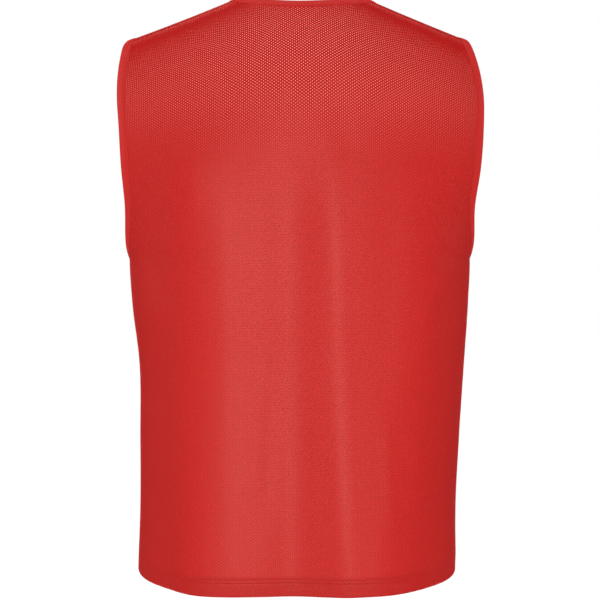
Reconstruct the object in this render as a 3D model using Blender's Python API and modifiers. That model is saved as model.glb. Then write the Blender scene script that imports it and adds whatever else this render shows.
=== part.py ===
"""A sleeveless training bib of knitted mesh, filled out as it hangs on a wearer.

Metres, +Z up. The origin lies between the shoulders, level with the highest point of the
neck edge. The back faces -Y and the front +Y, so +X is the wearer's right.

Every piece is cut from one surface, the cloth on a general figure. A point of it is given by
its panel, by how far across it lies (-1 and 1 are the panel's left and right cut edges) and by
its run, the length of cloth down from the shoulder seam.
"""

import bpy
import numpy as np

# Cloth and sewing
CLOTH_WALL = 0.0012
BAND_WALL = 0.0022  # a strip folded double
BAND_WIDTH = 0.0095
HEM_TURN_UP = 0.021
HEM_WALL = 0.0010
SEAM_GAP = 0.0003  # from each panel to the middle of a seam
BAND_GAP = 0.0007  # from a panel's edge to its band, whose thicker wall leans a little

# The shoulder line falls from the neck, steeply at first, and is rounded over inside the neck
NECK_POINT = 0.079  # half the finished neck's width
NECK_CUT = 0.0878  # half the neck's width where the panels are cut
NECK_MIDDLE = 0.004  # x of the neck's middle: the bib has slipped a little to one side
SHOULDER_SLOPE = 0.43
SHOULDER_EASE = 0.25  # how much the slope falls off, per metre outwards
SLOPE_FADES_AT = 0.28  # drop at which the rows of cloth have become level
ARCH_RADIUS = 0.13  # of the cloth's turn from the shoulder seam into the back and the front

# Armholes, where the panels are cut
ARMHOLE_DROP = 0.309
ARMHOLE_OPEN = 0.64  # half the opening, as a share of the panel's depth
ARMHOLE_ROUND = 0.17  # height over which the underarm widens into it

# How square a section is: 2 is an ellipse
SQUARENESS = 2.3

# The panels by side. way is the sign of Y, neck_drop the fall of the cut neck edge at the
# centre, neck_power its roundness (0.5 cuts half an ellipse), and hem_fall the extra length at
# the centre.
PANELS = {
    "back": {"way": -1, "neck_drop": 0.031, "neck_power": 0.50, "hem_fall": 0.0165},
    "front": {"way": 1, "neck_drop": 0.102, "neck_power": 0.45, "hem_fall": 0.0065},
}
HEM_DROP = 0.6735

# The figure by its drop below the shoulder line: half widths of the cut panels on each side
# of the centre, and depths to the back and to the front.
SECTION_COLUMNS = ("drop", "left", "right", "back", "front")
SECTIONS = (
    (0.000, 0.1935, 0.1911, 0.085, 0.070),
    (0.013, 0.1980, 0.1938, 0.086, 0.070),
    (0.030, 0.2003, 0.1966, 0.088, 0.072),
    (0.060, 0.2030, 0.2006, 0.094, 0.078),
    (0.100, 0.2039, 0.2030, 0.105, 0.090),
    (0.150, 0.2015, 0.2020, 0.115, 0.108),
    (0.200, 0.1997, 0.1997, 0.121, 0.123),
    (0.250, 0.1973, 0.1962, 0.124, 0.133),
    (0.300, 0.2006, 0.2024, 0.125, 0.138),
    (0.360, 0.1974, 0.2007, 0.123, 0.140),
    (0.430, 0.1890, 0.1960, 0.120, 0.140),
    (0.520, 0.1880, 0.1899, 0.121, 0.141),
    (0.600, 0.1880, 0.1858, 0.124, 0.143),
    (0.700, 0.1920, 0.1868, 0.127, 0.146),
)

# The folds that hang from the shoulders: x where a fold starts and at the hem, the drop where
# it starts, its rise over the cloth at half length and at the hem (negative for a trough) and
# its half width.
FOLD_COLUMNS = ("panel", "x_top", "x_hem", "start", "rise_middle", "rise_hem", "half_width")
FOLDS = (
    ("back", -0.152, -0.152, 0.20, -0.0014, -0.0012, 0.026),
    ("back", -0.131, -0.118, 0.08, 0.0113, 0.0124, 0.034),
    ("back", -0.092, -0.081, 0.10, 0.0025, 0.0018, 0.019),
    ("back", -0.020, -0.014, 0.13, -0.0062, -0.0082, 0.033),
    ("back", 0.029, 0.046, 0.14, 0.0015, 0.0027, 0.016),
    ("back", 0.060, 0.076, 0.17, 0.0018, 0.0067, 0.036),
    ("back", 0.144, 0.110, 0.16, 0.0069, 0.0054, 0.034),
    ("front", -0.112, -0.120, 0.20, 0.0040, 0.0060, 0.026),
    ("front", -0.066, -0.074, 0.16, -0.0045, -0.0070, 0.022),
    ("front", -0.022, -0.030, 0.22, 0.0030, 0.0060, 0.020),
    ("front", 0.030, 0.024, 0.18, -0.0030, -0.0060, 0.018),
    ("front", 0.072, 0.078, 0.15, 0.0050, 0.0075, 0.027),
    ("front", 0.124, 0.130, 0.26, -0.0030, -0.0045, 0.024),
)
FOLD_FADE = 0.16  # drop over which a fold comes up
FOLD_LENGTHENS = 0.05  # of a fold's rise, by which it carries the hem down

# The grid of a panel
NECK_CELLS = 18
SHOULDER_CELLS = 9
YOKE_ROWS = 16
TORSO_ROWS = 9  # above the turned-up hem
BAND_CELLS = 2  # across a band

MESH_RED = (0.578, 0.026, 0.021, 1.0)
BAND_RED = (0.515, 0.019, 0.016, 1.0)


def section(column, drop):
    """A column of SECTIONS at any drop: a cubic from row to row, with each row's own slope."""
    table = np.array(SECTIONS)
    drops = table[:, 0]
    values = table[:, SECTION_COLUMNS.index(column)]
    slopes = np.gradient(values, drops)
    drop = np.clip(drop, drops[0], drops[-1])
    row = np.clip(np.searchsorted(drops, drop, side="right") - 1, 0, len(drops) - 2)
    step = drops[row + 1] - drops[row]
    t = (drop - drops[row]) / step
    start = values[row] * (1 + 2 * t) + slopes[row] * step * t
    end = values[row + 1] * (3 - 2 * t) - slopes[row + 1] * step * (1 - t)
    return start * (1 - t) ** 2 + end * t**2


def smooth_step(t):
    """0 up to t = 0, 1 from t = 1 on, with a soft S between."""
    t = np.clip(t, 0, 1)
    return t * t * (3 - 2 * t)


def drop_at(run):
    """Drop below the shoulder line of a run of cloth: a quarter circle, then straight down."""
    turn = np.minimum(run / ARCH_RADIUS, np.pi / 2)
    below = np.maximum(run - ARCH_RADIUS * np.pi / 2, 0)
    return ARCH_RADIUS * (1 - np.cos(turn)) + below


def run_at(drop):
    """The run of cloth that reaches a drop: drop_at turned round."""
    turn = np.arccos(1 - np.minimum(drop / ARCH_RADIUS, 1))
    return ARCH_RADIUS * turn + np.maximum(drop - ARCH_RADIUS, 0)


def shoulder_height(x):
    """Height of the shoulder line: sloping outside the neck point, a parabola inside it."""
    x = x - NECK_MIDDLE
    out = np.abs(x) - NECK_POINT
    outside = -out * (SHOULDER_SLOPE - SHOULDER_EASE * out)
    inside = SHOULDER_SLOPE * (NECK_POINT**2 - x**2) / (2 * NECK_POINT)
    return np.where(out > 0, outside, inside)


def other_leg(share):
    """The other of the two coordinates of a point on the unit section."""
    return (1 - share**SQUARENESS) ** (1 / SQUARENESS)


def armhole_share(drop):
    """Depth of a panel's cut side edge, as a share of the panel's depth: 0 at a side seam."""
    t = np.clip((ARMHOLE_DROP - drop) / ARMHOLE_ROUND, 0, 1)
    return ARMHOLE_OPEN * np.sqrt(1 - (1 - t) ** 2)


def fold_rise(panel, x, drop):
    """Sum of the panel's folds: bells across, which come up below their start."""
    rise = np.zeros(np.broadcast(x, drop).shape)
    for row in FOLDS:
        fold = dict(zip(FOLD_COLUMNS, row))
        if fold["panel"] != panel:
            continue
        along = (drop - fold["start"]) / (HEM_DROP - fold["start"])
        middle = fold["x_top"] + (fold["x_hem"] - fold["x_top"]) * np.clip(along, 0, 1)
        growth = 2 * np.clip(along, 0.5, 1) - 1
        height = fold["rise_middle"] + (fold["rise_hem"] - fold["rise_middle"]) * growth
        come_up = smooth_step((drop - fold["start"]) / FOLD_FADE)
        rise += height * come_up * np.exp(-(((x - middle) / fold["half_width"]) ** 2))
    return rise


def cloth_point(panel, across, run):
    """Points of the cloth's outer face, for arrays of across and run.

    The angle round the section grows with across up to the panel's cut edge. The section is a
    superellipse with the figure's half width and depth there. The turn over the shoulder
    scales its depth, and its height is the shoulder line's less the drop.
    """
    drop = drop_at(run)
    edge_depth = armhole_share(drop)
    edge_width = other_leg(edge_depth)
    angle = across * np.arctan2(edge_width, edge_depth)
    unit = (np.abs(np.sin(angle)) ** SQUARENESS + np.abs(np.cos(angle)) ** SQUARENESS) ** (
        -1 / SQUARENESS
    )
    cut_width = np.where(across < 0, section("left", drop), section("right", drop))
    x = cut_width / edge_width * unit * np.sin(angle)
    turn = np.sin(np.minimum(run / ARCH_RADIUS, np.pi / 2))
    depth = section(panel, drop) * unit * np.cos(angle) * turn
    level = 1 - np.minimum(drop / SLOPE_FADES_AT, 1)
    z = shoulder_height(x) * level**2 - drop
    rise = fold_rise(panel, x, drop)
    way = PANELS[panel]["way"]
    return np.stack([x + rise * np.sin(angle), way * (depth + rise * np.cos(angle)), z], -1)


def neck_across(half):
    """How far across the cut neck edge meets the shoulder seam, on the left or right half."""
    edge_width = other_leg(ARMHOLE_OPEN)
    middle = NECK_MIDDLE if half == "right" else -NECK_MIDDLE
    width = (NECK_CUT + middle) * edge_width / section(half, 0.0)
    return np.arctan2(width, other_leg(width)) / np.arctan2(edge_width, ARMHOLE_OPEN)


def top_columns():
    """Places across of a panel's columns at its top edge: left shoulder, neck, right one."""
    left = -neck_across("left")
    right = neck_across("right")
    even = np.linspace(-1, 1, NECK_CELLS + 1)
    packed = even * (1.25 - 0.25 * even**2)  # closer together towards the neck's ends
    neck = np.sin(packed * np.pi / 2)
    neck = np.where(neck < 0, -neck * left, neck * right)
    return np.concatenate(
        [
            np.linspace(-1, left, SHOULDER_CELLS, endpoint=False),
            neck,
            np.linspace(right, 1, SHOULDER_CELLS + 1)[1:],
        ]
    )


def top_run(panel, across):
    """Run at which each column ends: at the shoulder seam, or further down at the neck."""
    size = PANELS[panel]
    half = np.where(across < 0, neck_across("left"), neck_across("right"))
    inside = np.clip(1 - (across / half) ** 2, 0, 1)
    return np.maximum(run_at(size["neck_drop"]) * inside ** size["neck_power"], SEAM_GAP)


def hem_run(panel, across):
    """Run at which each column ends at the hem, longer at the centre and on the folds."""
    side = run_at(HEM_DROP)
    level = cloth_point(panel, across, np.full(across.shape, side))
    fall = PANELS[panel]["hem_fall"] * (1 - across**2)
    return side + fall + FOLD_LENGTHENS * fold_rise(panel, level[:, 0], HEM_DROP)


def panel_points(panel):
    """The grid of a panel's outer face, as rows from the hem to the top edge.

    The torso's rows are level. In the yoke they fan out to the top edge, and lie closer where
    the cut edge turns fast, at the underarm and at the shoulder.
    """
    columns = np.linspace(-1, 1, NECK_CELLS + 2 * SHOULDER_CELLS + 1)
    top = top_columns()
    underarm = run_at(ARMHOLE_DROP)
    hem = hem_run(panel, columns)
    end = top_run(panel, top)
    rows = [(columns, hem)]
    for t in np.linspace(0, 1, TORSO_ROWS + 1)[:-1]:
        turned_up = hem - HEM_TURN_UP
        rows.append((columns, turned_up + (underarm - turned_up) * t))
    for t in np.linspace(0, 1, YOKE_ROWS + 1):
        inner = 1 - (1 - t) ** 1.6
        outer = (1 - np.cos(np.pi * t)) / 2
        share = inner + (outer - inner) * columns**2
        rows.append((columns + (top - columns) * share, underarm + (end - underarm) * share))
    across = np.array([row[0] for row in rows])
    run = np.array([row[1] for row in rows])
    grid = cloth_point(panel, across, run)
    away = PANELS[panel]["way"] * SEAM_GAP
    for column in (0, -1):
        on_seam = np.abs(grid[:, column, 1]) < SEAM_GAP
        grid[on_seam, column, 1] = away
    return grid


def grid_faces(rows, columns, closed=False):
    """Quads of a grid whose points are numbered row by row, wound so that a row that runs to
    +X and is followed by a higher one faces -Y."""
    across = columns if closed else columns - 1
    row, column = np.meshgrid(np.arange(rows - 1), np.arange(across), indexing="ij")
    beside = (column + 1) % columns
    corners = [
        row * columns + column,
        row * columns + beside,
        (row + 1) * columns + beside,
        (row + 1) * columns + column,
    ]
    return np.stack(corners, -1).reshape(-1, 4)


def sheet_mesh(name, points, flipped=False, closed=False):
    """A mesh of one open sheet of cloth from a grid of points."""
    rows, columns = points.shape[:2]
    faces = grid_faces(rows, columns, closed)
    if flipped:
        faces = faces[:, ::-1]
    mesh = bpy.data.meshes.new(name)
    mesh.from_pydata(points.reshape(-1, 3).tolist(), [], faces.tolist())
    mesh.shade_smooth()
    return mesh


def point_normals(mesh, shape):
    """The mesh's normals at its points, as a grid."""
    normals = np.empty(len(mesh.vertices) * 3)
    mesh.vertex_normals.foreach_get("vector", normals)
    return normals.reshape(*shape, 3)


def unit_vectors(vectors):
    """Each vector at length 1."""
    return vectors / np.linalg.norm(vectors, axis=-1, keepdims=True)


def cloth_material(name, colour, roughness):
    """Matt dyed polyester."""
    material = bpy.data.materials.new(name)
    material.use_nodes = True
    shader = material.node_tree.nodes["Principled BSDF"]
    shader.inputs["Base Color"].default_value = colour
    shader.inputs["Roughness"].default_value = roughness
    shader.inputs["Metallic"].default_value = 0.0
    return material


def add_cloth(mesh, wall, offset, material, collection, parent):
    """A named piece: the sheet with its wall's thickness. offset -1 puts the wall inside."""
    piece = bpy.data.objects.new(mesh.name, mesh)
    piece.parent = parent
    mesh.materials.append(material)
    collection.objects.link(piece)
    solidify = piece.modifiers.new("Wall", "SOLIDIFY")
    solidify.thickness = wall
    solidify.offset = offset
    triangulate = piece.modifiers.new("Short diagonals", "TRIANGULATE")
    triangulate.quad_method = "SHORTEST_DIAGONAL"


def edge_ring(edges, walls, inner):
    """Closed ring along the cut edges of both panels, which a band is sewn to.

    edges and walls hold the points and normals along the back's and the front's cut edge, both
    in the same direction, and inner the points one cell inside them. Returns the ring's
    points, its normals and its directions away from the cloth.
    """
    ends = [(edges[0][i] + edges[1][i]) / 2 for i in (0, -1)]
    end_walls = [walls[0][i] + walls[1][i] for i in (0, -1)]
    points = np.concatenate([[ends[0]], edges[0][1:-1], [ends[1]], edges[1][-2:0:-1]])
    normals = np.concatenate([[end_walls[0]], walls[0][1:-1], [end_walls[1]], walls[1][-2:0:-1]])
    normals = unit_vectors(normals)
    along = unit_vectors(np.roll(points, -1, axis=0) - np.roll(points, 1, axis=0))
    outwards = unit_vectors(np.cross(along, normals))
    middle = len(edges[0]) // 2
    if np.dot(outwards[middle], edges[0][middle] - inner[middle]) < 0:
        outwards = -outwards
    return points, normals, outwards


def band_points(ring):
    """The grid of a band's middle face: straight on from the cloth, in the plane of its edge."""
    points, normals, outwards = ring
    base = points - normals * CLOTH_WALL / 2
    reach = BAND_GAP + BAND_WIDTH * np.linspace(0, 1, BAND_CELLS + 1)
    return base[None] + reach[:, None, None] * outwards[None]


def faces_out(points, normals):
    """Whether grid_faces would wind a closed band's faces towards its normals."""
    along = points[0, 1] - points[0, 0]
    outwards = points[1, 0] - points[0, 0]
    return np.dot(np.cross(along, outwards), normals[0]) > 0


def build():
    """All the pieces, in one collection."""
    for old in list(bpy.data.objects):
        bpy.data.objects.remove(old, do_unlink=True)
    collection = bpy.data.collections.new("training_bib")
    bpy.context.scene.collection.children.link(collection)
    hold_point = bpy.data.objects.new("hold_point", None)
    hold_point.empty_display_size = 0.05
    collection.objects.link(hold_point)
    mesh_cloth = cloth_material("mesh_cloth", MESH_RED, 0.75)
    band_cloth = cloth_material("band_cloth", BAND_RED, 0.8)

    grids = {}
    normals = {}
    for panel in PANELS:
        front = panel == "front"
        grids[panel] = panel_points(panel)
        mesh = sheet_mesh(panel + "_panel", grids[panel], flipped=front)
        normals[panel] = point_normals(mesh, grids[panel].shape[:2])
        add_cloth(mesh, CLOTH_WALL, -1, mesh_cloth, collection, hold_point)

        inside = grids[panel][:2] - normals[panel][:2] * (CLOTH_WALL + SEAM_GAP)
        hem = sheet_mesh(panel + "_hem", inside, flipped=front)
        add_cloth(hem, HEM_WALL, -1, mesh_cloth, collection, hold_point)

    yoke = slice(-YOKE_ROWS - 1, None)
    neck = slice(SHOULDER_CELLS, SHOULDER_CELLS + NECK_CELLS + 1)
    bands = {
        "neck_band": ((-1, neck), (-2, neck)),
        "armhole_band_left": ((yoke, 0), (yoke, 1)),
        "armhole_band_right": ((yoke, -1), (yoke, -2)),
    }
    for name, (cut, one_in) in bands.items():
        edges = [grids[panel][cut] for panel in PANELS]
        walls = [normals[panel][cut] for panel in PANELS]
        ring = edge_ring(edges, walls, grids["back"][one_in])
        points = band_points(ring)
        mesh = sheet_mesh(name, points, flipped=not faces_out(points, ring[1]), closed=True)
        add_cloth(mesh, BAND_WALL, 0, band_cloth, collection, hold_point)


build()
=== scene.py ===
"""The looks of a red mesh training bib, filled out as it is worn and seen from behind."""

import bpy
import numpy as np
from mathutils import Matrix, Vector


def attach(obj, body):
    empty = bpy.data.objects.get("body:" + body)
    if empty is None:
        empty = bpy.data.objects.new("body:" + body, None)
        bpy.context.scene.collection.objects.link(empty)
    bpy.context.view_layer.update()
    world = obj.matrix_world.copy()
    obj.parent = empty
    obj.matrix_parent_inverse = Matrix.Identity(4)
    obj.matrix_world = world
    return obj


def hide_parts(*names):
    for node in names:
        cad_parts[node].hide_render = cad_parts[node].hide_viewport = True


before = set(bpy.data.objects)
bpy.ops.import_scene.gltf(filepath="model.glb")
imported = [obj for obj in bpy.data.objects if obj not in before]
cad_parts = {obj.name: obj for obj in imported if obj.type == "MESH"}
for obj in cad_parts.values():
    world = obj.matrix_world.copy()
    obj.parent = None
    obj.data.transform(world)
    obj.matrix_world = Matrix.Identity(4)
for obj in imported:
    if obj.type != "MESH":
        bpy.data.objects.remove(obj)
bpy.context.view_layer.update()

# ---------------------------------------------------------------------------------------------
# Camera: level with the middle of the bib, 2 m behind it and a little to its left, with a long
# lens, as the photograph was taken.
# ---------------------------------------------------------------------------------------------
CAMERA_AWAY = 2.0
CAMERA_TURN = np.radians(3.0)
CAMERA_HEIGHT = -0.357
CAMERA_ASIDE = 0.0012
VIEW_WIDTH = 0.714  # of the picture, where the bib stands
SENSOR = 36.0

camera = bpy.data.objects.new("camera", bpy.data.cameras.new("camera"))
camera.data.sensor_width = SENSOR
camera.data.lens = SENSOR * CAMERA_AWAY / VIEW_WIDTH
camera.location = (
    CAMERA_ASIDE * np.cos(CAMERA_TURN) - CAMERA_AWAY * np.sin(CAMERA_TURN),
    -CAMERA_ASIDE * np.sin(CAMERA_TURN) - CAMERA_AWAY * np.cos(CAMERA_TURN),
    CAMERA_HEIGHT,
)
camera.rotation_euler = (np.pi / 2, 0, -CAMERA_TURN)
bpy.context.scene.collection.objects.link(camera)
bpy.context.scene.camera = camera

# ---------------------------------------------------------------------------------------------
# Studio: a white surround and a pale floor as far down as a wearer's feet. A tall soft box just
# right of the camera gives the cloth its broad gleam, and a wide lamp above, one on each side
# and one beyond light its shoulders, its sides and its front.
# ---------------------------------------------------------------------------------------------
SURROUND = 1.0
FLOOR_HEIGHT = -1.42
FLOOR_HALF = 30.0
FLOOR_WHITE = (0.95, 0.95, 0.95, 1)
FLOOR_WHITE_DEEP = (0.93, 0.93, 0.93, 1)
FLOOR_MOTTLE_SCALE = 0.6
FLOOR_GLOW = 0.08
LAMPS = (
    # name, place, aim, width, height, watts
    ("soft_box", (0.15, -2.6, -0.27), (0, 0, -0.31), 0.5, 1.1, 42),
    ("lamp_above", (0.0, 0.4, 2.2), (0, 0, -0.1), 2.6, 0.8, 29),
    ("lamp_left", (-2.2, 0.3, 0.7), (0, 0, -0.35), 0.8, 1.6, 34),
    ("lamp_right", (2.2, 0.3, 0.5), (0, 0, -0.45), 0.8, 1.6, 15),
    ("lamp_beyond", (-0.6, 2.4, 0.3), (0, 0, -0.35), 0.9, 1.6, 22),
)

bpy.context.scene.view_settings.view_transform = "Standard"
world = bpy.data.worlds.new("surround")
bpy.context.scene.world = world
world.use_nodes = True
background = world.node_tree.nodes["Background"]
background.inputs["Color"].default_value = (1, 1, 1, 1)
background.inputs["Strength"].default_value = SURROUND


def aim(place, target):
    """Turn of a lamp at a place so that it shines on the target."""
    return (Vector(target) - Vector(place)).to_track_quat("-Z", "Y").to_euler()


for name, place, target, width, height, watts in LAMPS:
    lamp = bpy.data.objects.new(name, bpy.data.lights.new(name, "AREA"))
    lamp.data.shape = "RECTANGLE"
    lamp.data.size = width
    lamp.data.size_y = height
    lamp.data.energy = watts
    lamp.location = place
    lamp.rotation_euler = aim(place, target)
    bpy.context.scene.collection.objects.link(lamp)

floor_mesh = bpy.data.meshes.new("floor")
corners = np.array([(-1, -1), (1, -1), (1, 1), (-1, 1)]) * FLOOR_HALF
floor_mesh.from_pydata([(x, y, FLOOR_HEIGHT) for x, y in corners], [], [(0, 1, 2, 3)])
floor = bpy.data.objects.new("floor", floor_mesh)
bpy.context.scene.collection.objects.link(floor)


class Shade:
    """One output of a shader node. Arithmetic on it adds Math nodes."""

    def __init__(self, tree, socket=None):
        self.tree = tree
        self.socket = socket

    def node(self, kind, settings=None, values=None, output=0):
        """Adds a node: its settings first, then the values or links of its sockets."""
        new = self.tree.nodes.new(kind)
        for name, value in (settings or {}).items():
            setattr(new, name, value)
        for name, value in (values or {}).items():
            if isinstance(value, Shade):
                self.tree.links.new(value.socket, new.inputs[name])
            else:
                new.inputs[name].default_value = value
        return Shade(self.tree, new.outputs[output])

    def math(self, operation, *others):
        values = dict(enumerate((self, *others)))
        return self.node("ShaderNodeMath", {"operation": operation}, values)

    def __add__(self, other):
        return self.math("ADD", other)

    __radd__ = __add__

    def __mul__(self, other):
        return self.math("MULTIPLY", other)

    __rmul__ = __mul__

    def __sub__(self, other):
        return self.math("SUBTRACT", other)

    def __rsub__(self, other):
        return self.math("MULTIPLY_ADD", -1.0, other)

    def __truediv__(self, other):
        return self.math("DIVIDE", other)

    def twin(self, output):
        """Another output of the same node."""
        return Shade(self.tree, self.socket.node.outputs[output])

    def ramp(self, start, end):
        """0 up to start and 1 from end on, with a soft S between."""
        values = {"Value": self, "From Min": start, "From Max": end}
        settings = {"interpolation_type": "SMOOTHSTEP"}
        return self.node("ShaderNodeMapRange", settings, values)

    def between(self, first, second):
        """The first colour where this is 0, the second where it is 1."""
        values = {0: self, 6: first, 7: second}
        return self.node("ShaderNodeMix", {"data_type": "RGBA"}, values, output=2)


def new_material(name):
    """A material with one Principled shader. Returns it, its shader and a Shade to start from."""
    material = bpy.data.materials.new(name)
    material.use_nodes = True
    tree = material.node_tree
    return material, tree.nodes["Principled BSDF"], Shade(tree)


def feed(shader, values):
    """Sets the shader's sockets to values or links."""
    for name, value in values.items():
        if isinstance(value, Shade):
            value.tree.links.new(value.socket, shader.inputs[name])
        else:
            shader.inputs[name].default_value = value


floor_paint, shader, start = new_material("floor_paint")
place = start.node("ShaderNodeTexCoord", output="Object")
mottle = start.node("ShaderNodeTexNoise", values={"Vector": place, "Scale": FLOOR_MOTTLE_SCALE})
feed(
    shader,
    {
        "Base Color": mottle.between(FLOOR_WHITE_DEEP, FLOOR_WHITE),
        "Roughness": 0.9,
        "Emission Color": (1, 1, 1, 1),
        "Emission Strength": FLOOR_GLOW,
    },
)
floor_mesh.materials.append(floor_paint)

# ---------------------------------------------------------------------------------------------
# Back panel: one piece of red polyester mesh, warp-knitted with staggered round holes, from the
# shoulder seams to the hem. It hangs from the shoulders in long soft folds.
# ---------------------------------------------------------------------------------------------
CLOTH_WALL = 0.0006
NECK_POINT = 0.079  # half the finished neck's width
NECK_CUT = 0.0878  # half the neck's width where the panels are cut
NECK_MIDDLE = 0.004
SHOULDER_SLOPE = 0.43
SHOULDER_EASE = 0.25  # how much the slope falls off, per metre outwards
SLOPE_FADES_AT = 0.28
ARCH_RADIUS = 0.13  # of the cloth's turn from the shoulder seam into the back and the front
ARMHOLE_DROP = 0.309
ARMHOLE_OPEN = 0.64  # half the opening, as a share of the panel's depth
ARMHOLE_ROUND = 0.17
SQUARENESS = 2.3  # of a section: 2 is an ellipse
HEM_DROP = 0.6735
HEM_TURN_UP = 0.021
PANELS = {
    "back": {"way": -1, "neck_drop": 0.031, "neck_power": 0.50, "hem_fall": 0.0165},
    "front": {"way": 1, "neck_drop": 0.102, "neck_power": 0.45, "hem_fall": 0.0065},
}
SECTION_COLUMNS = ("drop", "left", "right", "back", "front")
SECTIONS = np.array(
    (
        (0.000, 0.1935, 0.1911, 0.085, 0.070),
        (0.013, 0.1980, 0.1938, 0.086, 0.070),
        (0.030, 0.2003, 0.1966, 0.088, 0.072),
        (0.060, 0.2030, 0.2006, 0.094, 0.078),
        (0.100, 0.2039, 0.2030, 0.105, 0.090),
        (0.150, 0.2015, 0.2020, 0.115, 0.108),
        (0.200, 0.1997, 0.1997, 0.121, 0.123),
        (0.250, 0.1973, 0.1962, 0.124, 0.133),
        (0.300, 0.2006, 0.2024, 0.125, 0.138),
        (0.360, 0.1974, 0.2007, 0.123, 0.140),
        (0.430, 0.1890, 0.1960, 0.120, 0.140),
        (0.520, 0.1880, 0.1899, 0.121, 0.141),
        (0.600, 0.1880, 0.1858, 0.124, 0.143),
        (0.700, 0.1920, 0.1868, 0.127, 0.146),
    )
)
# Folds that hang from the shoulders: where across they start and reach the hem, the drop where
# they start, their rise at half length and at the hem, and their half width
FOLD_COLUMNS = ("panel", "x_top", "x_hem", "start", "rise_middle", "rise_hem", "half_width")
FOLDS = (
    ("back", -0.152, -0.152, 0.20, -0.0014, -0.0012, 0.026),
    ("back", -0.131, -0.118, 0.08, 0.0113, 0.0124, 0.034),
    ("back", -0.092, -0.081, 0.10, 0.0025, 0.0018, 0.019),
    ("back", -0.020, -0.014, 0.13, -0.0062, -0.0082, 0.033),
    ("back", 0.029, 0.046, 0.14, 0.0015, 0.0027, 0.016),
    ("back", 0.060, 0.076, 0.17, 0.0018, 0.0067, 0.036),
    ("back", 0.144, 0.110, 0.16, 0.0069, 0.0054, 0.034),
    ("front", -0.112, -0.120, 0.20, 0.0040, 0.0060, 0.026),
    ("front", -0.066, -0.074, 0.16, -0.0045, -0.0070, 0.022),
    ("front", -0.022, -0.030, 0.22, 0.0030, 0.0060, 0.020),
    ("front", 0.030, 0.024, 0.18, -0.0030, -0.0060, 0.018),
    ("front", 0.072, 0.078, 0.15, 0.0050, 0.0075, 0.027),
    ("front", 0.124, 0.130, 0.26, -0.0030, -0.0045, 0.024),
)
FOLD_FADE = 0.16
FOLD_LENGTHENS = 0.05
# Fainter creases: from one place (x, drop) to another, rise, half width
CREASE_COLUMNS = ("panel", "x_from", "drop_from", "x_to", "drop_to", "rise", "half_width")
CREASES = (
    ("back", 0.178, 0.300, 0.120, 0.400, 0.0010, 0.012),
    ("back", -0.176, 0.305, -0.128, 0.390, -0.0009, 0.011),
    ("back", 0.030, 0.100, 0.050, 0.210, -0.0007, 0.014),
    ("back", -0.040, 0.430, -0.046, 0.640, -0.0007, 0.009),
    ("back", 0.090, 0.470, 0.094, 0.660, 0.0008, 0.008),
    ("front", 0.172, 0.290, 0.112, 0.400, 0.0011, 0.012),
    ("front", -0.174, 0.300, -0.118, 0.380, 0.0010, 0.013),
    ("front", -0.100, 0.120, -0.060, 0.230, -0.0008, 0.012),
    ("front", 0.096, 0.110, 0.050, 0.240, -0.0008, 0.013),
    ("front", 0.000, 0.450, -0.004, 0.660, 0.0009, 0.009),
)
CREASE_FADE = 0.35  # share of a crease's length over which it fades at each end
SEAM_DEPTH = 0.0009  # by which a seam draws the cloth in
SEAM_REACH = 0.0035
SEAM_FADE = 0.01  # height over which the side seam's trough starts at the underarm
HEM_TUCK = 0.0026  # by which the hem's edge leans in
HEM_TUCK_POWER = 6  # how late that fades towards the side seams
STITCH_HEIGHTS = (0.0155, 0.0195)  # of the hem's two rows of stitches above its edge
STITCH_DEPTH = 0.0003  # by which a row of stitches draws the cloth in
STITCH_REACH = 0.0011
HALF_GIRTH = 0.54
SLOPE_STEP = 0.0002  # over which the cloth's slopes are taken
HEM_ROUND = 0.0012  # radius of the fold at the hem's edge
NECK_CELLS = 76
SHOULDER_CELLS = 46
SEAM_CELLS = 4  # of the panel's width, packed at a seam
SEAM_STEPS = np.array([0.0, 0.14, 0.34, 0.62]) * SEAM_CELLS
NECK_PACKING = 0.25  # of the columns towards the neck's ends
YOKE_EASE = 1.6  # of the yoke's rows at the middle, closer to the top edge
YOKE_ROWS = 96
TORSO_ROWS = 116
HEM_ROWS = 28
MESH_RED = (0.323, 0.001, 0.001, 1)
MESH_RED_DEEP = (0.311, 0.001, 0.001, 1)
HOLE_DOUBLED = (0.33, 0.001, 0.001, 1)  # what shows at the hem: more mesh
HOLE_PAINTED_DIM = (0.58, 0.012, 0.010, 1)  # painted light in a hole: the inside of the bib, dimly lit, as seen through it
HOLE_PAINTED_LIGHT = (0.92, 0.34, 0.29, 1)  # and over the shoulders: brighter painted light, as if light fell in there
CLOTH_GLEAM = 0.055
STRETCH_DULLS = 0.45  # of the gleam, lost over the shoulders, where the knit is stretched
GLEAM_ROUGHNESS = 0.45
CLOTH_ROUGHNESS = 0.8
MOTTLE_SCALE = 9.0
GLEAM_PINK = (0.47, 0.34, 0.30, 1)
HOLE_PITCH_ACROSS = 0.0048  # from one column to the next but one
HOLE_PITCH_ALONG = 0.00345
HOLE_HALF_WIDTH = 0.00074
HOLE_HALF_HEIGHT = 0.00085
HOLE_EDGE = (0.86, 1.14)  # in hole radii: where the hole ends and where the yarn is whole
HOLE_RIM = (0.9, 1.5)  # in hole radii: where the yarn starts to rise and has risen
ROW_BEND = 0.0006  # by which a row of holes strays
ROW_BEND_SCALE = 45.0
YARN_PITCH_ACROSS = 0.0012
YARN_PITCH_ALONG = 0.00058
YARN_RELIEF = 0.06  # share of the relief that is yarn, the rest being the holes' rims
KNIT_BUMP = 0.6
KNIT_BUMP_DEPTH = 0.0004
LIT_ABOVE = -0.04  # height above which the holes' painted light is fullest
LIT_BELOW = -0.21  # height below which it is least
LIT_LEAST = 0.13


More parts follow.
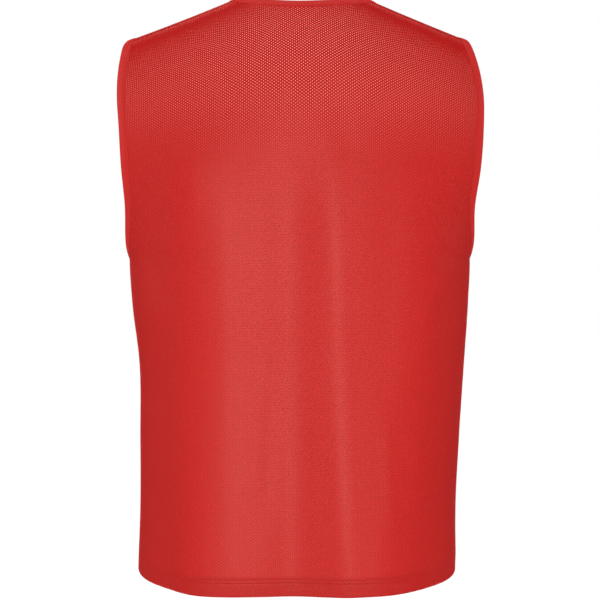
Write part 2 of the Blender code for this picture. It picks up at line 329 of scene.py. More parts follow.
def section(column, drop):
    """A column of SECTIONS at any drop: a cubic from row to row, with each row's own slope."""
    drops = SECTIONS[:, 0]
    values = SECTIONS[:, SECTION_COLUMNS.index(column)]
    slopes = np.gradient(values, drops)
    drop = np.clip(drop, drops[0], drops[-1])
    row = np.clip(np.searchsorted(drops, drop, side="right") - 1, 0, len(drops) - 2)
    step = drops[row + 1] - drops[row]
    t = (drop - drops[row]) / step
    first = values[row] * (1 + 2 * t) + slopes[row] * step * t
    second = values[row + 1] * (3 - 2 * t) - slopes[row + 1] * step * (1 - t)
    return first * (1 - t) ** 2 + second * t**2


def smooth_step(t):
    """0 up to t = 0, 1 from t = 1 on, with a soft S between."""
    t = np.clip(t, 0, 1)
    return t * t * (3 - 2 * t)


def drop_at(run):
    """Drop below the shoulder line of a run of cloth: a quarter circle, then straight down."""
    turn = np.minimum(run / ARCH_RADIUS, np.pi / 2)
    return ARCH_RADIUS * (1 - np.cos(turn)) + np.maximum(run - ARCH_RADIUS * np.pi / 2, 0)


def run_at(drop):
    """The run of cloth that reaches a drop: drop_at turned round."""
    turn = np.arccos(1 - np.minimum(drop / ARCH_RADIUS, 1))
    return ARCH_RADIUS * turn + np.maximum(drop - ARCH_RADIUS, 0)


def shoulder_height(x):
    """Height of the shoulder line: sloping outside the neck point, a parabola inside it."""
    x = x - NECK_MIDDLE
    out = np.abs(x) - NECK_POINT
    outside = -out * (SHOULDER_SLOPE - SHOULDER_EASE * out)
    inside = SHOULDER_SLOPE * (NECK_POINT**2 - x**2) / (2 * NECK_POINT)
    return np.where(out > 0, outside, inside)


def other_leg(share):
    """The other of the two coordinates of a point on the unit section."""
    return (1 - share**SQUARENESS) ** (1 / SQUARENESS)


def armhole_share(drop):
    """Depth of a panel's cut side edge, as a share of the panel's depth: 0 at a side seam."""
    t = np.clip((ARMHOLE_DROP - drop) / ARMHOLE_ROUND, 0, 1)
    return ARMHOLE_OPEN * np.sqrt(1 - (1 - t) ** 2)


def fold_rise(panel, x, drop):
    """Sum of the panel's folds: bells across, which come up below their start."""
    rise = np.zeros(np.broadcast(x, drop).shape)
    for row in FOLDS:
        fold = dict(zip(FOLD_COLUMNS, row))
        if fold["panel"] != panel:
            continue
        along = (drop - fold["start"]) / (HEM_DROP - fold["start"])
        middle = fold["x_top"] + (fold["x_hem"] - fold["x_top"]) * np.clip(along, 0, 1)
        growth = 2 * np.clip(along, 0.5, 1) - 1
        height = fold["rise_middle"] + (fold["rise_hem"] - fold["rise_middle"]) * growth
        come_up = smooth_step((drop - fold["start"]) / FOLD_FADE)
        rise += height * come_up * np.exp(-(((x - middle) / fold["half_width"]) ** 2))
    return rise


def crease_rise(panel, x, drop):
    """Sum of the fainter creases: bells round a straight line that fade to both its ends."""
    rise = np.zeros(np.broadcast(x, drop).shape)
    for row in CREASES:
        crease = dict(zip(CREASE_COLUMNS, row))
        if crease["panel"] != panel:
            continue
        run_x = crease["x_to"] - crease["x_from"]
        run_down = crease["drop_to"] - crease["drop_from"]
        length = np.hypot(run_x, run_down)
        aside_x = x - crease["x_from"]
        aside_down = drop - crease["drop_from"]
        along = (aside_x * run_x + aside_down * run_down) / length**2
        off = (aside_x * run_down - aside_down * run_x) / length
        ends = smooth_step(along / CREASE_FADE) * smooth_step((1 - along) / CREASE_FADE)
        rise += crease["rise"] * ends * np.exp(-((off / crease["half_width"]) ** 2))
    return rise


def cloth_point(panel, across, run):
    """Points of the cloth's outer face. across is -1 and 1 at the panel's cut edges, and run the
    length of cloth down from the shoulder seam.

    The angle round the section grows with across up to the cut edge. The section is a
    superellipse with the figure's half width and depth. The turn over the shoulder scales its
    depth, and its height is the shoulder line's less the drop. Folds rise along its spokes.
    """
    drop = drop_at(run)
    edge_depth = armhole_share(drop)
    edge_width = other_leg(edge_depth)
    angle = across * np.arctan2(edge_width, edge_depth)
    unit = (np.abs(np.sin(angle)) ** SQUARENESS + np.abs(np.cos(angle)) ** SQUARENESS) ** (
        -1 / SQUARENESS
    )
    cut_width = np.where(across < 0, section("left", drop), section("right", drop))
    x = cut_width / edge_width * unit * np.sin(angle)
    turn = np.sin(np.minimum(run / ARCH_RADIUS, np.pi / 2))
    depth = section(panel, drop) * unit * np.cos(angle) * turn
    level = 1 - np.minimum(drop / SLOPE_FADES_AT, 1)
    z = shoulder_height(x) * level**2 - drop
    rise = fold_rise(panel, x, drop) + crease_rise(panel, x, drop)
    way = PANELS[panel]["way"]
    return np.stack([x + rise * np.sin(angle), way * (depth + rise * np.cos(angle)), z], -1)


def neck_across(half):
    """How far across the cut neck edge meets the shoulder seam, on the left or right half."""
    edge_width = other_leg(ARMHOLE_OPEN)
    middle = NECK_MIDDLE if half == "right" else -NECK_MIDDLE
    width = (NECK_CUT + middle) * edge_width / section(half, 0.0)
    return np.arctan2(width, other_leg(width)) / np.arctan2(edge_width, ARMHOLE_OPEN)


def packed(start, end, cells, first, last):
    """Places from start to end, spaced evenly but for the SEAM_CELLS next to its first or last
    end, whose steps grow away from it."""
    steps = np.arange(cells + 1.0)
    if first:
        steps[:SEAM_CELLS] = SEAM_STEPS
    if last:
        steps[-SEAM_CELLS:] = cells - SEAM_STEPS[::-1]
    return start + (end - start) * steps / cells


def hem_run(panel, across):
    """Run at which the hem's edge lies, longer at the middle and on the folds."""
    side = run_at(HEM_DROP)
    level = cloth_point(panel, across, np.full(across.shape, side))
    fall = PANELS[panel]["hem_fall"] * (1 - across**2)
    return side + fall + FOLD_LENGTHENS * fold_rise(panel, level[..., 0], HEM_DROP)


def panel_places(panel):
    """across and run of the panel's grid, as rows from the hem to the top edge.

    The torso's rows are level. In the yoke they fan out to the shoulder seam and the neck, and
    lie closer where the cut edge turns fast.
    """
    size = PANELS[panel]
    cells = NECK_CELLS + 2 * SHOULDER_CELLS
    columns = packed(-1, 1, cells, True, True)
    left = -neck_across("left")
    right = neck_across("right")
    even = np.linspace(-1, 1, NECK_CELLS + 1)
    neck = np.sin(even * (1 + NECK_PACKING - NECK_PACKING * even**2) * np.pi / 2)
    neck = np.where(neck < 0, -neck * left, neck * right)
    top = np.concatenate(
        [
            packed(-1, left, SHOULDER_CELLS, True, False)[:-1],
            neck,
            packed(right, 1, SHOULDER_CELLS, False, True)[1:],
        ]
    )
    half = np.where(top < 0, left, right)
    inside = np.clip(1 - (top / half) ** 2, 0, 1)
    end = run_at(size["neck_drop"]) * inside ** size["neck_power"]
    underarm = run_at(ARMHOLE_DROP)
    hem = hem_run(panel, columns)
    turned_up = hem - HEM_TURN_UP
    rows = []
    for t in np.linspace(0, 1, HEM_ROWS + 1)[:-1]:
        rows.append((columns, hem - HEM_ROUND + (turned_up - hem + HEM_ROUND) * t))
    for t in np.linspace(0, 1, TORSO_ROWS + 1)[:-1]:
        rows.append((columns, turned_up + (underarm - turned_up) * t))
    for t in np.linspace(0, 1, YOKE_ROWS + 1):
        inner = 1 - (1 - t) ** YOKE_EASE
        outer = (1 - np.cos(np.pi * t)) / 2
        share = inner + (outer - inner) * columns**2
        rows.append((columns + (top - columns) * share, underarm + (end - underarm) * share))
    return np.array([row[0] for row in rows]), np.array([row[1] for row in rows])


def width_along(panel, across, run, steps=32):
    """Length of cloth across from the panel's middle: the sum of short chords at equal run."""
    shares = np.linspace(0, 1, steps + 1)
    chain = cloth_point(panel, across[..., None] * shares, run[..., None] * np.ones(steps + 1))
    chords = np.linalg.norm(np.diff(chain, axis=-2), axis=-1)
    return np.sign(across) * chords.sum(-1)


def unit_vectors(vectors):
    """Each vector at length 1."""
    return vectors / np.maximum(np.linalg.norm(vectors, axis=-1, keepdims=True), 1e-12)


def cloth_face(panel, across, run):
    """Points of the finished cloth's outer face and its outward normals.

    They are cloth_point's, drawn in beside the side and shoulder seams, by SEAM_DEPTH at the
    seam and less by a bell curve away from it, and likewise at the hem's stitches, below which
    the hem leans in. A normal is the cross of the two slopes.
    """
    across, run = np.broadcast_arrays(across, run)
    step = SLOPE_STEP
    sideways = cloth_point(panel, across + step, run) - cloth_point(panel, across - step, run)
    down = cloth_point(panel, across, run + step) - cloth_point(panel, across, run - step)
    outward = unit_vectors(np.cross(sideways, down)) * PANELS[panel]["way"]
    from_side = (1 - np.abs(across)) * HALF_GIRTH / 2
    below = smooth_step((drop_at(run) - ARMHOLE_DROP) / SEAM_FADE + 0.5)
    side_trough = np.exp(-((from_side / SEAM_REACH) ** 2)) * below
    shoulder_trough = np.exp(-((run / SEAM_REACH) ** 2))
    above = hem_run(panel, across) - run
    lean = (1 - across**HEM_TUCK_POWER) * np.clip(1 - above / HEM_TURN_UP, 0, 1.1)
    drawn = SEAM_DEPTH * (side_trough + shoulder_trough) + HEM_TUCK * lean
    for height in STITCH_HEIGHTS:
        drawn = drawn + STITCH_DEPTH * np.exp(-(((above - height) / STITCH_REACH) ** 2))
    return cloth_point(panel, across, run) - outward * drawn[..., None], outward


def painted_light_share(points):
    """How much light is painted into the holes: much over the shoulders, little further down."""
    high = smooth_step((points[..., 2] - LIT_BELOW) / (LIT_ABOVE - LIT_BELOW))
    return LIT_LEAST + (1 - LIT_LEAST) * high


def cloth_piece(name, points, flat, wall, materials, lit=None, flipped=False, closed=False):
    """A sheet of cloth from a grid of points, with its flat place as UV in metres and its wall
    put on inwards, where it takes the second material. A closed grid joins its last column to
    its first."""
    rows, columns = points.shape[:2]
    across = columns if closed else columns - 1
    row, column = np.meshgrid(np.arange(rows - 1), np.arange(across), indexing="ij")
    beside = (column + 1) % columns
    corners = [row * columns + column, row * columns + beside]
    corners += [(row + 1) * columns + beside, (row + 1) * columns + column]
    faces = np.stack(corners, -1).reshape(-1, 4)
    if flipped:
        faces = faces[:, ::-1]
    mesh = bpy.data.meshes.new(name)
    mesh.from_pydata(points.reshape(-1, 3).tolist(), [], faces.tolist())
    mesh.shade_smooth()
    if flat is not None:
        loops = np.empty(len(mesh.loops), dtype=int)
        mesh.loops.foreach_get("vertex_index", loops)
        layer = mesh.uv_layers.new(name="flat")
        layer.data.foreach_set("uv", flat.reshape(-1, 2)[loops].ravel())
    if lit is not None:
        mesh.attributes.new("lit", "FLOAT", "POINT").data.foreach_set("value", lit.ravel())
    for material in materials:
        mesh.materials.append(material)
    piece = bpy.data.objects.new(name, mesh)
    bpy.context.scene.collection.objects.link(piece)
    if wall:
        solidify = piece.modifiers.new("wall", "SOLIDIFY")
        solidify.thickness = wall
        solidify.offset = -1
        solidify.material_offset = len(materials) - 1
    return piece


def cloth_shader(cloth, start, values, gleam):
    """A matt cloth shader with a small share of a paler gleam mixed in. The gleam is a second
    shader, since a plain one would get light edges from the white surround."""
    feed(cloth, values)
    gloss_values = {"Base Color": GLEAM_PINK, "Metallic": 1.0, "Roughness": GLEAM_ROUGHNESS}
    gloss_values |= {key: values[key] for key in ("Alpha", "Normal") if key in values}
    gloss = start.node("ShaderNodeBsdfPrincipled", values=gloss_values)
    matt = Shade(start.tree, cloth.outputs[0])
    mixed = start.node("ShaderNodeMixShader", values={0: gleam, 1: matt, 2: gloss})
    feed(start.tree.nodes["Material Output"], {"Surface": mixed})


def knit_holes(start):
    """How far a place of the cloth is from the nearest hole's middle, in hole radii.

    The holes lie on two like lattices, half a pitch apart both ways. In each the distance is
    that to the nearest lattice point, and the smaller one counts. A soft noise bends the rows.
    """
    flat = start.node("ShaderNodeUVMap", {"uv_map": "flat"})
    place = start.node("ShaderNodeSeparateXYZ", values={0: flat})
    noise = {"Vector": flat, "Scale": ROW_BEND_SCALE}
    bend = start.node("ShaderNodeTexNoise", values=noise, output="Color")
    bends = start.node("ShaderNodeSeparateColor", values={0: bend})
    u = place + (bends - 0.5) * ROW_BEND
    v = place.twin(1) + (bends.twin(1) - 0.5) * ROW_BEND
    nearest = None
    for shift in (0.0, 0.5):
        parts = []
        for value, pitch, half in (
            (u, HOLE_PITCH_ACROSS, HOLE_HALF_WIDTH),
            (v, HOLE_PITCH_ALONG, HOLE_HALF_HEIGHT),
        ):
            cell = value / pitch + shift
            off = (cell - cell.math("ROUND")) * (pitch / half)
            parts.append(off * off)
        distance = (parts[0] + parts[1]).math("SQRT")
        nearest = distance if nearest is None else nearest.math("MINIMUM", distance)
    return nearest, u, v


def knit_material(name, inside):
    """The mesh cloth's outer face, with clear holes, or its inner face, where the holes are
    painted with light that stands for what shows through them.
    """
    material, shader, start = new_material(name)
    distance, u, v = knit_holes(start)
    hole = 1 - distance.ramp(*HOLE_EDGE)
    rim = distance.ramp(*HOLE_RIM)
    place = start.node("ShaderNodeTexCoord", output="Object")
    mottle = start.node("ShaderNodeTexNoise", values={"Vector": place, "Scale": MOTTLE_SCALE})
    yarn_along = (v * (2 * np.pi / YARN_PITCH_ALONG)).math("SINE")
    yarn_across = (u * (2 * np.pi / YARN_PITCH_ACROSS)).math("COSINE")
    relief = rim * (1 - YARN_RELIEF + yarn_along * yarn_across * YARN_RELIEF)
    bump_values = {"Strength": KNIT_BUMP, "Distance": KNIT_BUMP_DEPTH, "Height": relief}
    bump = start.node("ShaderNodeBump", values=bump_values)
    colour = mottle.between(MESH_RED_DEEP, MESH_RED)
    lit = start.node("ShaderNodeAttribute", {"attribute_name": "lit"}, output="Fac")
    high = (lit - LIT_LEAST) / (1 - LIT_LEAST)
    # Inside, each hole is painted with light that stands for what shows through it: dim lower
    # down, pale pink over the shoulders, plain mesh at the hem.
    if inside:
        behind = (lit / LIT_LEAST).between(HOLE_DOUBLED, HOLE_PAINTED_DIM)
        behind = high.between(behind, HOLE_PAINTED_LIGHT)
        colour = hole.between(colour, behind)
    values = {
        "Base Color": colour,
        "Roughness": CLOTH_ROUGHNESS,
        "Specular IOR Level": 0.0,
        "Normal": bump,
    }
    if not inside:
        values["Alpha"] = 1 - hole
    gleam = CLOTH_GLEAM * (1 - high.math("MAXIMUM", 0.0) * STRETCH_DULLS)
    cloth_shader(shader, start, values, gleam)
    return material


mesh_outside = knit_material("mesh_outside", False)
mesh_inside = knit_material("mesh_inside", True)

grids = {}
normals = {}
flats = {}
panels = {}
for panel in PANELS:
    across, run = panel_places(panel)
    grids[panel], normals[panel] = cloth_face(panel, across, run)
    flats[panel] = np.stack([width_along(panel, across, run), run], -1)
    lit = painted_light_share(grids[panel])
    lit[: HEM_ROWS + 1] = 0  # the turned-up hem lies behind
    panels[panel] = cloth_piece(
        panel + "_panel_cloth",
        grids[panel],
        flats[panel],
        CLOTH_WALL,
        (mesh_outside, mesh_inside),
        lit=lit,
        flipped=panel == "front",
    )
    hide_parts(panel + "_panel")
    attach(panels[panel], "root")

# ---------------------------------------------------------------------------------------------
# Hems: the mesh of each panel turned up once inside by 21 mm, round a soft fold, and held by
# two rows of stitches, with a looped thread between them inside.
# ---------------------------------------------------------------------------------------------
HEM_FOLD_CELLS = 8
HEM_INSIDE_ROWS = 12
HEM_DEPTH = 0.0019  # of the turned-up mesh's inner face, behind the panel's outer one
HEM_EASE = 0.006  # height over which the fold narrows to that depth
STITCH_LENGTH = 0.0026
STITCH_PITCH = 0.0031
STITCH_RADIUS = 0.00030
STITCH_SIDES = 6
STITCH_RINGS = np.array([0, 0.07, 0.25, 0.5, 0.75, 0.93, 1])  # along it, with its poles
STITCH_ARCH = 0.9  # rise of its middle, in radii
STITCH_SUNK = 0.5  # how deep its ends lie, in radii
STITCH_LINE_END = 0.999  # across, just short of the side seams
STITCH_LINE_POINTS = 2401
THREAD_RADIUS = 0.00022
THREAD_SIDES = 5
THREAD_TWIST_SCALE = 2600.0
THREAD_RED = (0.36, 0.007, 0.006, 1)
THREAD_RED_DEEP = (0.28, 0.004, 0.004, 1)

thread, shader, start = new_material("thread")
place = start.node("ShaderNodeTexCoord", output="Object")
twist = start.node("ShaderNodeTexNoise", values={"Vector": place, "Scale": THREAD_TWIST_SCALE})
twist_values = {"Strength": 0.4, "Distance": 0.0001, "Height": twist}
twist_bump = start.node("ShaderNodeBump", values=twist_values)
feed(
    shader,
    {
        "Base Color": twist.ramp(0.3, 0.7).between(THREAD_RED_DEEP, THREAD_RED),
        "Roughness": 0.6,
        "Specular IOR Level": 0.1,
        "Normal": twist_bump,
    },
)


def turned_up_hem(panel, across):
    """Grid of the turned-up mesh's visible face and its places on the flat cloth.

    Its rows go round the fold, a half circle of radius HEM_ROUND, and then up inside the panel
    at HEM_DEPTH, by HEM_TURN_UP.
    """
    edge = hem_run(panel, across)
    face, outward = cloth_face(panel, across, edge - HEM_ROUND)
    below, _ = cloth_face(panel, across, edge)
    down = unit_vectors(below - face)
    turn = np.linspace(0, np.pi, HEM_FOLD_CELLS + 1)[:, None, None]
    fold = face + HEM_ROUND * (np.sin(turn) * down - (1 - np.cos(turn)) * outward)
    up = HEM_TURN_UP * np.linspace(0, 1, HEM_INSIDE_ROWS + 1)[1:, None]
    above = HEM_ROUND + up * (1 - HEM_ROUND / HEM_TURN_UP)
    face, outward = cloth_face(panel, across, edge - above)
    ease = smooth_step(up / HEM_EASE)
    depth = 2 * HEM_ROUND + (HEM_DEPTH - 2 * HEM_ROUND) * ease
    inside = face - outward * depth[..., None]
    along = np.concatenate([HEM_ROUND * turn[:, :, 0], np.pi * HEM_ROUND + up])
    u = width_along(panel, across, edge)
    flat = np.stack(np.broadcast_arrays(u, edge - HEM_ROUND + along), -1)
    return np.concatenate([fold, inside]), flat


def at_lengths(points, lengths):
    """Length along a line of points, and what turns places on it into values of other arrays."""
    steps = np.linalg.norm(np.diff(points, axis=0), axis=1)
    reached = np.concatenate([[0], np.cumsum(steps)])
    return reached[-1], lambda values: np.stack(
        [np.interp(lengths, reached, values[:, i]) for i in range(3)], -1
    )


def new_piece(name, points, faces, material):
    """A mesh piece of thread or trim from points and faces, with smooth shading."""
    mesh = bpy.data.meshes.new(name)
    mesh.from_pydata(points.reshape(-1, 3).tolist(), [], faces)
    mesh.shade_smooth()
    mesh.materials.append(material)
    piece = bpy.data.objects.new(name, mesh)
    bpy.context.scene.collection.objects.link(piece)
    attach(piece, "root")
    return piece


def row_of_stitches(points, normals):
    """Tails, heads and normals of stitches spaced evenly along a line on the cloth."""
    length, _ = at_lengths(points, 0)
    tails = np.arange(STITCH_PITCH / 2, length - STITCH_LENGTH, STITCH_PITCH)
    _, at_tails = at_lengths(points, tails)
    _, at_heads = at_lengths(points, tails + STITCH_LENGTH)
    return at_tails(points), at_heads(points), unit_vectors(at_tails(normals))


def stitches(name, rows, radius=STITCH_RADIUS):
    """Stitches as rounded bars: rings whose radius is a half ellipse's, on a line that arches
    out of the cloth from both ends, with a pole at each end."""
    tails, heads, normals = (np.concatenate(parts) for parts in zip(*rows))
    along = unit_vectors(heads - tails)
    aside = np.cross(along, normals)
    share = STITCH_RINGS
    turn = np.linspace(0, 2 * np.pi, STITCH_SIDES, endpoint=False)
    wide = radius * np.sqrt(1 - (2 * share - 1) ** 2)
    lift = radius * (np.sin(np.pi * share) * STITCH_ARCH - STITCH_SUNK)
    middle = tails[:, None] + (heads - tails)[:, None] * share[:, None]
    middle = middle + normals[:, None] * lift[:, None]
    spoke = np.cos(turn)[:, None] * aside[:, None] + np.sin(turn)[:, None] * normals[:, None]
    rings = middle[:, 1:-1, None] + wide[1:-1, None, None] * spoke[:, None]
    count, ring_count = rings.shape[:2]
    points = np.concatenate([middle[:, :1], rings.reshape(count, -1, 3), middle[:, -1:]], axis=1)
    side = np.arange(STITCH_SIDES)
    beside = (side + 1) % STITCH_SIDES
    last = 1 + (ring_count - 1) * STITCH_SIDES
    start = [(0, 1 + a, 1 + b) for a, b in zip(side, beside)]
    end = [(last + b, last + a, last + STITCH_SIDES) for a, b in zip(side, beside)]
    walls = [
        (1 + r + a, 1 + r + STITCH_SIDES + a, 1 + r + STITCH_SIDES + b, 1 + r + b)
        for r in range(0, (ring_count - 1) * STITCH_SIDES, STITCH_SIDES)
        for a, b in zip(side, beside)
    ]
    offsets = (np.arange(count) * points.shape[1])[:, None, None]
    faces = (np.array(start + end)[None] + offsets).reshape(-1, 3).tolist()
    faces += (np.array(walls)[None] + offsets).reshape(-1, 4).tolist()
    return new_piece(name, points, faces, thread)


def run_of_thread(path, reference):
    """A thread along a path, as points and faces: a ring square to the path at each point,
    turned by the reference direction, and a closed end at both ends."""
    along = unit_vectors(np.gradient(path, axis=0))
    aside = unit_vectors(np.cross(along, reference))
    out = np.cross(aside, along)
    turn = np.linspace(0, 2 * np.pi, THREAD_SIDES, endpoint=False)[:, None, None]
    points = path + THREAD_RADIUS * (np.cos(turn) * aside + np.sin(turn) * out)
    points = points.transpose(1, 0, 2).reshape(-1, 3)
    row, side = np.meshgrid(np.arange(len(path) - 1), np.arange(THREAD_SIDES), indexing="ij")
    first = row * THREAD_SIDES + side
    second = row * THREAD_SIDES + (side + 1) % THREAD_SIDES
    faces = np.stack([first, second, second + THREAD_SIDES, first + THREAD_SIDES], -1)
    ends = [list(range(THREAD_SIDES))[::-1]]
    ends.append(list(range(len(points) - THREAD_SIDES, len(points))))
    return points, faces.reshape(-1, 4).tolist() + ends


def threads(name, runs):
    """One piece from several runs of thread."""
    points = []
    faces = []
    for path, reference in runs:
        offset = sum(len(part) for part in points)
        run_points, run_faces = run_of_thread(path, reference)
        points.append(run_points)
        faces += [[offset + corner for corner in face] for face in run_faces]
    return new_piece(name, np.concatenate(points), faces, thread)


hems = {}
for panel in PANELS:
    columns = panel_places(panel)[0][0]
    grid, flat = turned_up_hem(panel, columns)
    hems[panel] = cloth_piece(
        panel + "_hem_cloth",
        grid,
        flat,
        CLOTH_WALL,
        (mesh_outside, mesh_inside),
        lit=np.zeros(grid.shape[:2]),
        flipped=panel == "back",
    )
    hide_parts(panel + "_hem")
    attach(hems[panel], "root")

    across = np.linspace(-STITCH_LINE_END, STITCH_LINE_END, STITCH_LINE_POINTS)
    lines = [cloth_face(panel, across, hem_run(panel, across) - h) for h in STITCH_HEIGHTS]
    rows = [row_of_stitches(points, outward) for points, outward in lines]
    stitches(panel + "_hem_stitches", rows)
    inner = [points - outward * (HEM_DEPTH + THREAD_RADIUS) for points, outward in lines]
    length, _ = at_lengths(inner[0], 0)
    corner = np.arange(0, length, STITCH_PITCH / 2)
    middles = [at_lengths(line, corner)[1](line) for line in inner]
    odd = (np.arange(len(corner)) % 2)[:, None]
    zigzag = middles[0] * (1 - odd) + middles[1] * odd
    outwards = at_lengths(inner[0], corner)[1](lines[0][1])
    threads(panel + "_hem_looped_thread", [(zigzag, outwards)])

# ---------------------------------------------------------------------------------------------
# Bands: strips of plain knit folded double and sewn round the neck and the armholes, with the
# fold outwards.
# ---------------------------------------------------------------------------------------------
BAND_WIDTH = 0.0102
BAND_WALL = 0.0022
BAND_SINK = 0.0010  # how far the band laps over the cloth's edge
BAND_CELLS = 20  # round its outline
BAND_SEWN_WALL = 0.55  # thickness of its sewn edge, as a share of its wall
BAND_BLUNTNESS = 0.55  # of its outline: 1 is an ellipse, and less is flatter
BAND_RED = (0.322, 0.001, 0.001, 1)
BAND_RED_DEEP = (0.306, 0.001, 0.001, 1)
RIB_PITCH = 0.0011
LOOP_PITCH = 0.0007
FUZZ_SCALE = 900.0

band_knit, shader, start = new_material("band_knit")
flat = start.node("ShaderNodeUVMap", {"uv_map": "flat"})
place = start.node("ShaderNodeSeparateXYZ", values={0: flat})
ribs = (place * (2 * np.pi / RIB_PITCH)).math("SINE")
loops = (place.twin(1) * (2 * np.pi / LOOP_PITCH)).math("SINE")
fuzz = start.node("ShaderNodeTexNoise", values={"Vector": flat, "Scale": FUZZ_SCALE})
relief = ribs * 0.3 + loops * 0.2 + fuzz
bump_values = {"Strength": 0.5, "Distance": 0.0003, "Height": relief}
band_bump = start.node("ShaderNodeBump", values=bump_values)
band_values = {
    "Base Color": fuzz.between(BAND_RED_DEEP, BAND_RED),
    "Roughness": CLOTH_ROUGHNESS,
    "Specular IOR Level": 0.0,
    "Normal": band_bump,
}
cloth_shader(shader, start, band_values, CLOTH_GLEAM)


def edge_ring(edges, walls, inner):
    """Closed ring along the cut edges of both panels. Returns its points, its normals and its
    directions away from the cloth, in the cloth's plane."""
    ends = [(edges[0][i] + edges[1][i]) / 2 for i in (0, -1)]
    end_walls = [walls[0][i] + walls[1][i] for i in (0, -1)]
    points = np.concatenate([[ends[0]], edges[0][1:-1], [ends[1]], edges[1][-2:0:-1]])
    ring = np.concatenate([[end_walls[0]], walls[0][1:-1], [end_walls[1]], walls[1][-2:0:-1]])
    ring = unit_vectors(ring)
    along = unit_vectors(np.roll(points, -1, axis=0) - np.roll(points, 1, axis=0))
    outwards = unit_vectors(np.cross(along, ring))
    middle = len(edges[0]) // 2
    if np.dot(outwards[middle], edges[0][middle] - inner[middle]) < 0:
        outwards = -outwards
    return points, ring, outwards


def band_profile():
    """Places of the folded strip's outline: away from the cloth and up from its middle. It is a
    flat loop, whose height is a power of the sine, with a thinner sewn edge."""
    turn = np.linspace(0, 2 * np.pi, BAND_CELLS, endpoint=False)
    away = (1 + np.cos(turn)) / 2
    thin = BAND_SEWN_WALL + (1 - BAND_SEWN_WALL) * smooth_step(away * 3)
    blunt = np.sign(np.sin(turn)) * np.abs(np.sin(turn)) ** BAND_BLUNTNESS
    up = blunt * thin * BAND_WALL / 2
    return -BAND_SINK + away * (BAND_WIDTH + BAND_SINK), up


def band_piece(name, ring):
    """A band: the strip's outline carried along the ring."""
    points, walls, outwards = ring
    away, up = band_profile()
    base = points - walls * CLOTH_WALL / 2
    grid = base[None] + away[:, None, None] * outwards[None] + up[:, None, None] * walls[None]
    steps = np.linalg.norm(np.roll(points, -1, axis=0) - points, axis=1)
    length = np.concatenate([[0], np.cumsum(steps)[:-1]])
    flat = np.stack(np.broadcast_arrays(length[None, :], away[:, None]), -1)
    grid = np.concatenate([grid, grid[:1]])
    flat = np.concatenate([flat, flat[:1]])
    return cloth_piece(name, grid, flat, 0, (band_knit,), closed=True)


yoke = slice(-YOKE_ROWS - 1, None)
neck = slice(SHOULDER_CELLS, SHOULDER_CELLS + NECK_CELLS + 1)
BANDS = {
    "neck_band": ((-1, neck), (-2, neck)),
    "armhole_band_left": ((yoke, 0), (yoke, 1)),
    "armhole_band_right": ((yoke, -1), (yoke, -2)),
}
BAND_STITCH_AWAY = 0.0012
BAND_STITCH_UP = 0.00066
BAND_STITCH_RADIUS = 0.00024
OVERLOCK_PITCH = 0.0026
OVERLOCK_WIDTH = 0.0058
OVERLOCK_DEPTH = 0.0016
OVERLOCK_POINTS = 10  # of a loop


def overlocking(points, normals, inwards):
    """Path of the thread looped round a seam's raw edges inside: a coil pressed flat, as wide
    as OVERLOCK_WIDTH. Returns the path and the direction along the seam."""
    length, _ = at_lengths(points, 0)
    count = int(length / OVERLOCK_PITCH)
    places = np.linspace(0, length, count * OVERLOCK_POINTS + 1)
    _, at_places = at_lengths(points, places)
    turn = np.linspace(0, 2 * np.pi * count, len(places))[:, None]
    deep = CLOTH_WALL + OVERLOCK_DEPTH * (1 + np.sin(turn)) / 2 + THREAD_RADIUS
    wide = OVERLOCK_WIDTH * (1 - np.cos(turn)) / 2
    path = at_places(points) - unit_vectors(at_places(normals)) * deep
    path = path + unit_vectors(at_places(inwards)) * wide
    along = np.gradient(at_places(points), axis=0)
    return path, unit_vectors(along)


stitch_rows = []
overlocked = []
for name, (cut, one_in) in BANDS.items():
    edges = [grids[panel][cut] for panel in PANELS]
    walls = [normals[panel][cut] for panel in PANELS]
    ring = edge_ring(edges, walls, grids["back"][one_in])
    band = band_piece(name + "_cloth", ring)
    line, outward, away = (np.concatenate([part, part[:1]]) for part in ring)
    sewn = line + away * BAND_STITCH_AWAY + outward * (BAND_STITCH_UP - CLOTH_WALL / 2)
    stitch_rows.append(row_of_stitches(sewn, outward))
    overlocked.append(overlocking(line, outward, -away))
    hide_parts(name)
    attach(band, "root")

stitches("band_stitches", stitch_rows, BAND_STITCH_RADIUS)
threads("band_overlocking", overlocked)

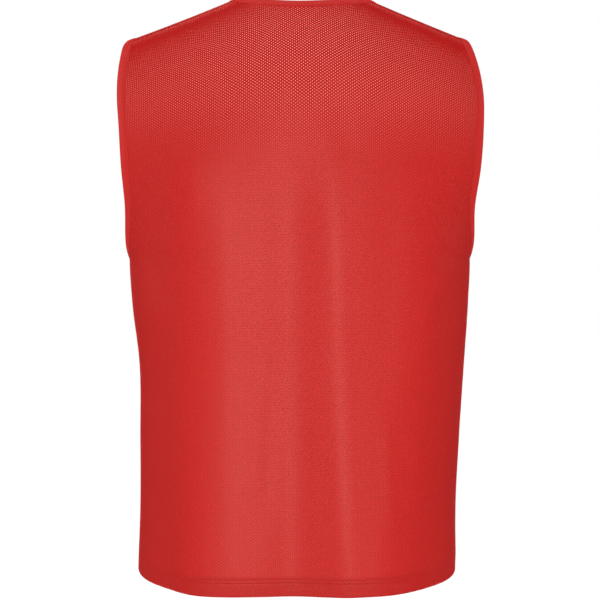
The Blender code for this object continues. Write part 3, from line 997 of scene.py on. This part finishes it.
# ---------------------------------------------------------------------------------------------
# Side and shoulder seams: the panels' raw edges lie together inside, pressed towards the back,
# 7 mm wide, and are overlocked with red thread.
# ---------------------------------------------------------------------------------------------
ALLOWANCE = 0.0068
ALLOWANCE_WALL = 0.0010  # two layers of mesh, pressed
ALLOWANCE_GAP = 0.0003  # between it and the panel
ALLOWANCE_ROWS = 6
SEAM_POINTS = 160
SEAM_LENGTH = 0.37  # given to each allowance in its flat places
SEAM_ENDS = 0.0015  # above the hem's edge


def seam_line(side, share):
    """across and run along a seam of the back panel: down a side, or out along a shoulder, at
    a share of the allowance's width in from the seam."""
    where, way = side
    if where == "side":
        top = run_at(ARMHOLE_DROP)
        bottom = hem_run("back", np.array([way]))[0] - SEAM_ENDS
        run = np.linspace(top, bottom, SEAM_POINTS)
        return way * (1 - share * ALLOWANCE / (HALF_GIRTH / 2)) * np.ones(SEAM_POINTS), run
    across = np.linspace(neck_across("left" if way < 0 else "right"), 1, SEAM_POINTS) * way
    return across, np.full(SEAM_POINTS, share * ALLOWANCE)


seam_lines = {
    "side_seam_left": ("side", -1.0),
    "side_seam_right": ("side", 1.0),
    "shoulder_seam_left": ("shoulder", -1.0),
    "shoulder_seam_right": ("shoulder", 1.0),
}
overlocked = []
for name, side in seam_lines.items():
    shares = np.linspace(0, 1, ALLOWANCE_ROWS + 1)
    faces = [cloth_face("back", *seam_line(side, share)) for share in shares]
    behind = ALLOWANCE_GAP + CLOTH_WALL
    grid = np.array([points - outward * behind for points, outward in faces])
    lengths = np.linspace(0, SEAM_LENGTH, SEAM_POINTS)
    flat = np.stack(np.broadcast_arrays(shares[:, None] * ALLOWANCE, lengths), -1)
    inward = grid[-1] - grid[0]
    outward = faces[0][1]
    slope = np.cross(grid[1, 1] - grid[0, 1], grid[0, 2] - grid[0, 1])
    allowance = cloth_piece(
        name + "_allowance",
        grid,
        flat,
        ALLOWANCE_WALL,
        (mesh_inside,),
        lit=np.zeros(grid.shape[:2]),
        flipped=np.dot(slope, outward[1]) > 0,
    )
    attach(allowance, "root")
    overlocked.append(overlocking(grid[0], outward, inward))
threads("seam_overlocking", overlocked)
